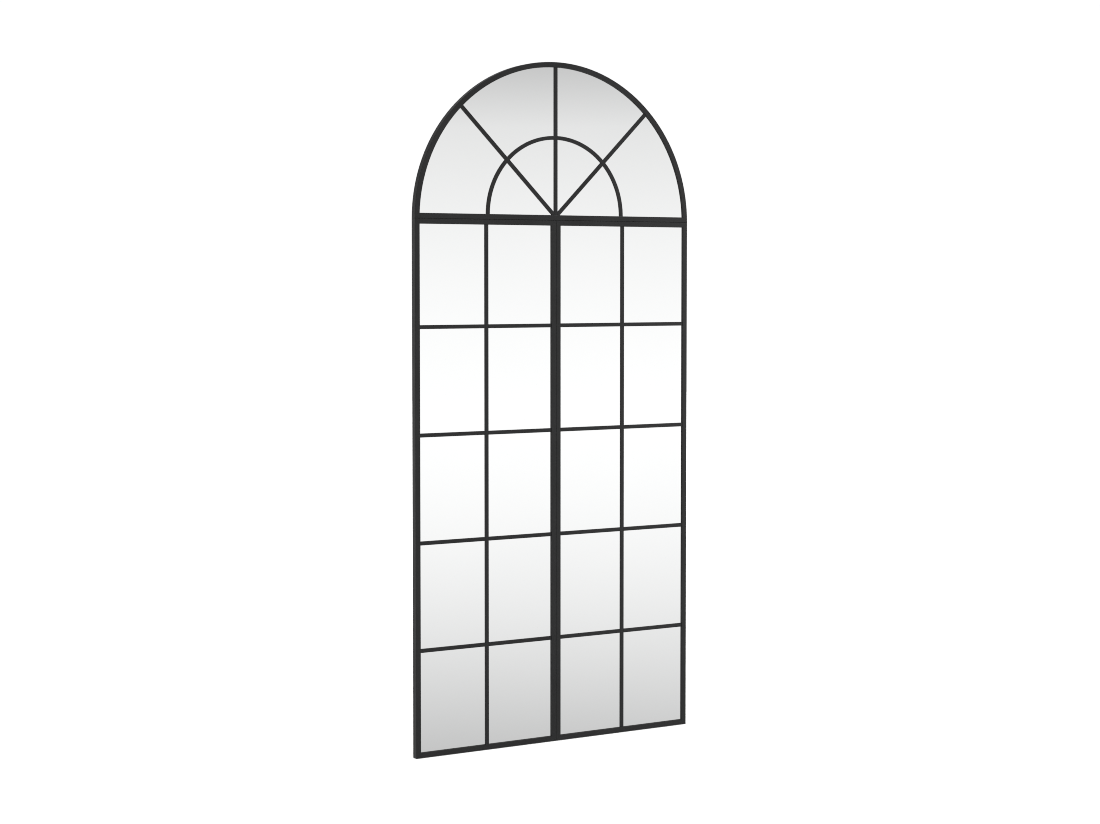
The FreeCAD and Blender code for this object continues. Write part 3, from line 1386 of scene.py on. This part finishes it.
@dataclass(frozen=True)
class Surroundings:
    """What the mirror reflects: white, brightest at one slope and fading above and below it."""

    brightest_slope: float = -0.0675
    peak: float = 1.035
    fall_above: float = 5.9
    power_above: float = 1.65
    ceiling_from: float = 0.141
    ceiling_fall: float = 4.9
    fall_below: float = 11.9
    power_below: float = 1.78
    least: float = 0.46
    levelling: float = 0.3
    rise_from: float = 0.17
    rise_power: float = 1.25
    rise_rate: float = 1.3
    rise_most: float = 0.42
    least_level_squared: float = 0.0001
    straight: float = 1.03

    def slope(self, sheet: NodeSheet) -> NodeSocket:
        """How steeply each direction rises.

        Args:
            sheet: The world's nodes.

        Returns:
            The rise over the level distance.
        """
        split = sheet.add("ShaderNodeSeparateXYZ")
        sheet.join(sheet.add("ShaderNodeTexCoord").outputs["Generated"], split.inputs["Vector"])
        rise = split.outputs["Z"]
        level_squared = sheet.work_out(Sum.SUBTRACT, 1.0, sheet.work_out(Sum.MULTIPLY, rise, rise))
        above_nothing = sheet.work_out(Sum.HIGHER, level_squared, self.least_level_squared)
        return sheet.work_out(Sum.DIVIDE, rise, sheet.work_out(Sum.ROOT, above_nothing))

    def brightness(self, sheet: NodeSheet, slope: NodeSocket) -> NodeSocket:
        """How bright the surroundings are: they fade off the brightest slope and rise again far below.

        Args:
            sheet: The world's nodes.
            slope: How steeply each direction rises.

        Returns:
            The brightness.
        """

        def past(value: NodeSocket, start: float) -> NodeSocket:
            """How far a value is past a start, and nothing before it."""
            return sheet.work_out(Sum.HIGHER, sheet.work_out(Sum.SUBTRACT, value, start), 0.0)

        def curve(value: NodeSocket, power: float, rate: float) -> NodeSocket:
            """A value raised to a power, at a rate."""
            return sheet.work_out(Sum.MULTIPLY, sheet.work_out(Sum.POWER, value, power), rate)

        above = past(slope, self.brightest_slope)
        below = past(sheet.work_out(Sum.MULTIPLY, slope, -1.0), -self.brightest_slope)
        falls = (
            curve(above, self.power_above, self.fall_above),
            sheet.work_out(Sum.MULTIPLY, past(above, self.ceiling_from), self.ceiling_fall),
            curve(below, self.power_below, self.fall_below),
        )
        faded: NodeSocket | float = self.peak
        for fall in falls:
            faded = sheet.work_out(Sum.SUBTRACT, faded, fall)
        levelled = sheet.work_out(Sum.SMOOTH_HIGHER, faded, self.least, self.levelling)
        rise = curve(past(below, self.rise_from), self.rise_power, self.rise_rate)
        return sheet.work_out(Sum.ADD, levelled, sheet.work_out(Sum.LOWER, rise, self.rise_most))

    def build(self) -> None:
        """Makes the scene's world, which is plain white where the camera sees it straight."""
        world = bpy.data.worlds.new("studio")
        world.use_nodes = True
        sheet = NodeSheet(world.node_tree)
        background = sheet.tree.nodes["Background"]
        background.inputs["Color"].default_value = WHITE
        around = self.brightness(sheet, self.slope(sheet))
        to_camera = sheet.add("ShaderNodeLightPath").outputs["Is Camera Ray"]
        missing = sheet.work_out(Sum.SUBTRACT, self.straight, around)
        lift = sheet.work_out(Sum.MULTIPLY, to_camera, missing)
        sheet.join(sheet.work_out(Sum.ADD, around, lift), background.inputs["Strength"])
        bpy.context.scene.world = world


@dataclass
class Studio:
    """The surroundings, the floor and the lights around the mirror."""

    surroundings: Surroundings = Surroundings()
    floor: Floor = Floor()
    top_light: TopLight = TopLight()
    panels: tuple[SoftPanel, ...] = (
        SoftPanel("side_panel", (2.72, -1.27, 1.2), (1.6, 2.4), 6.3),
        SoftPanel("overhead_panel", (1.9, -0.2, 4.5), (2.4, 2.0), 12.0),
        SoftPanel("back_panel", (2.4, 2.6, 2.6), (1.6, 1.6), 14.0),
    )

    def build(self, pieces: list[Object]) -> None:
        """Makes the whole studio.

        Args:
            pieces: What the panels light.
        """
        self.surroundings.build()
        self.floor.build()
        self.top_light.build()
        lit = bpy.data.collections.new("lit_by_panels")
        for obj in pieces:
            lit.objects.link(obj)
        for panel in self.panels:
            panel.build(lit)


@dataclass
class PhotoCamera:
    """The camera that sees the mirror as the photograph does."""

    place: Triple = (-2.9645, -5.0967, 1.3337)
    yaw_degrees: float = 30.107
    pitch_degrees: float = -2.492
    focal_pixels: float = 2052.99
    drop_pixels: float = 44.0
    frame_width_pixels: float = 1100.0
    sensor_mm: float = 36.0

    def build(self) -> None:
        """Makes the scene's camera."""
        data = bpy.data.cameras.new("photo_camera")
        data.sensor_fit = "HORIZONTAL"
        data.sensor_width = self.sensor_mm
        data.lens = self.sensor_mm * self.focal_pixels / self.frame_width_pixels
        data.shift_y = -self.drop_pixels / self.frame_width_pixels
        camera = linked(data)
        camera.location = self.place
        # Unturned, a camera looks straight down. A quarter turn levels it.
        turn = (90.0 + self.pitch_degrees, 0.0, -self.yaw_degrees)
        camera.rotation_euler = [math.radians(degrees) for degrees in turn]
        bpy.context.scene.camera = camera


def main() -> None:
    """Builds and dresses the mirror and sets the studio."""
    logging.basicConfig(level=logging.INFO, format="%(name)s: %(message)s")
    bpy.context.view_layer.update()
    scene = bpy.context.scene
    scene.view_settings.view_transform = "Standard"
    scene.cycles.filter_width = PIXEL_FILTER
    materials = {slot: finish.material() for slot, finish in FINISHES.items()}
    assemblies: tuple[SubAssembly, ...] = (
        PanelSection("left_panel"),
        PanelSection("right_panel"),
        ArchSection("arch"),
        ButtonScrews(),
        JoiningBolts(),
        TurnButtons(),
    )
    pieces = []
    for assembly in assemblies:
        for obj in assembly.build(materials):
            log.info("%s: %d faces", obj.name, len(obj.data.polygons))
            pieces.append(obj)
    Studio().build(pieces)
    PhotoCamera().build()


if __name__ == "__main__":
    main()
